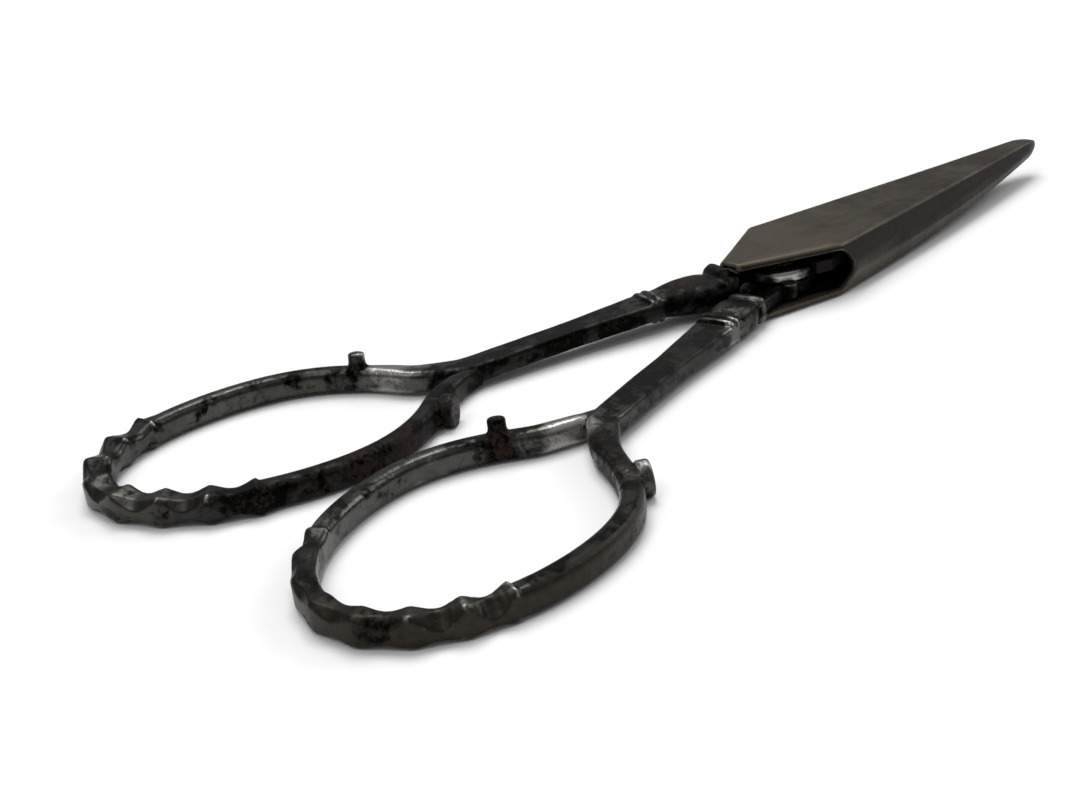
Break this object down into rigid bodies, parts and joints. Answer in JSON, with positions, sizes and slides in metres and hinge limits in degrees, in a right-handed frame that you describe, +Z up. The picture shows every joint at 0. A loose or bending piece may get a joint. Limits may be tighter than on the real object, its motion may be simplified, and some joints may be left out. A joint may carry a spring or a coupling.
{
  "type": "sewing scissors with sheath",
  "caption": "Antique sewing scissors with scalloped pointed-oval finger bows, turned collars and a slotted pivot screw, their tapered blades held in a folded metal sheath that slides off.",
  "frame": {"origin": "middle of the footprint of the closed, sheathed scissors, on the surface they lie on", "axes": "+X along the blades to the sheath's tip, +Y to the upper half's handle, +Z up from the surface"},
  "size_m": [0.1142, 0.0506, 0.0054],
  "materials": {
    "forged_steel": "dark worn steel with polished patches, scratches and brown rust pitting",
    "screw_steel": "worn bright steel, dirty in its slot",
    "sheath_metal": "satin brown-grey patina, polished along the folds and the rim"
  },
  "bodies": {
    "lower": {"lower_half": "forged_steel", "pivot_screw": "screw_steel"},
    "upper": {"upper_half": "forged_steel"},
    "cover": {"sheath": "sheath_metal"}
  },
  "joints": [
    {"name": "blade_pivot", "type": "hinge", "parent": "lower", "child": "upper", "pos_m": [0.01019, 0, 0.00235], "axis": [0, 0, -1], "range_deg": [0, 36]},
    {"name": "sheath_pull", "type": "slide", "parent": "lower", "child": "cover", "axis": [0.9954, -0.0958, 0], "range_m": [0, 0.16]}
  ],
  "couplings": [
    {"joint": "sheath_pull", "follows": "blade_pivot", "m_per_rad": 0.25465}
  ]
}
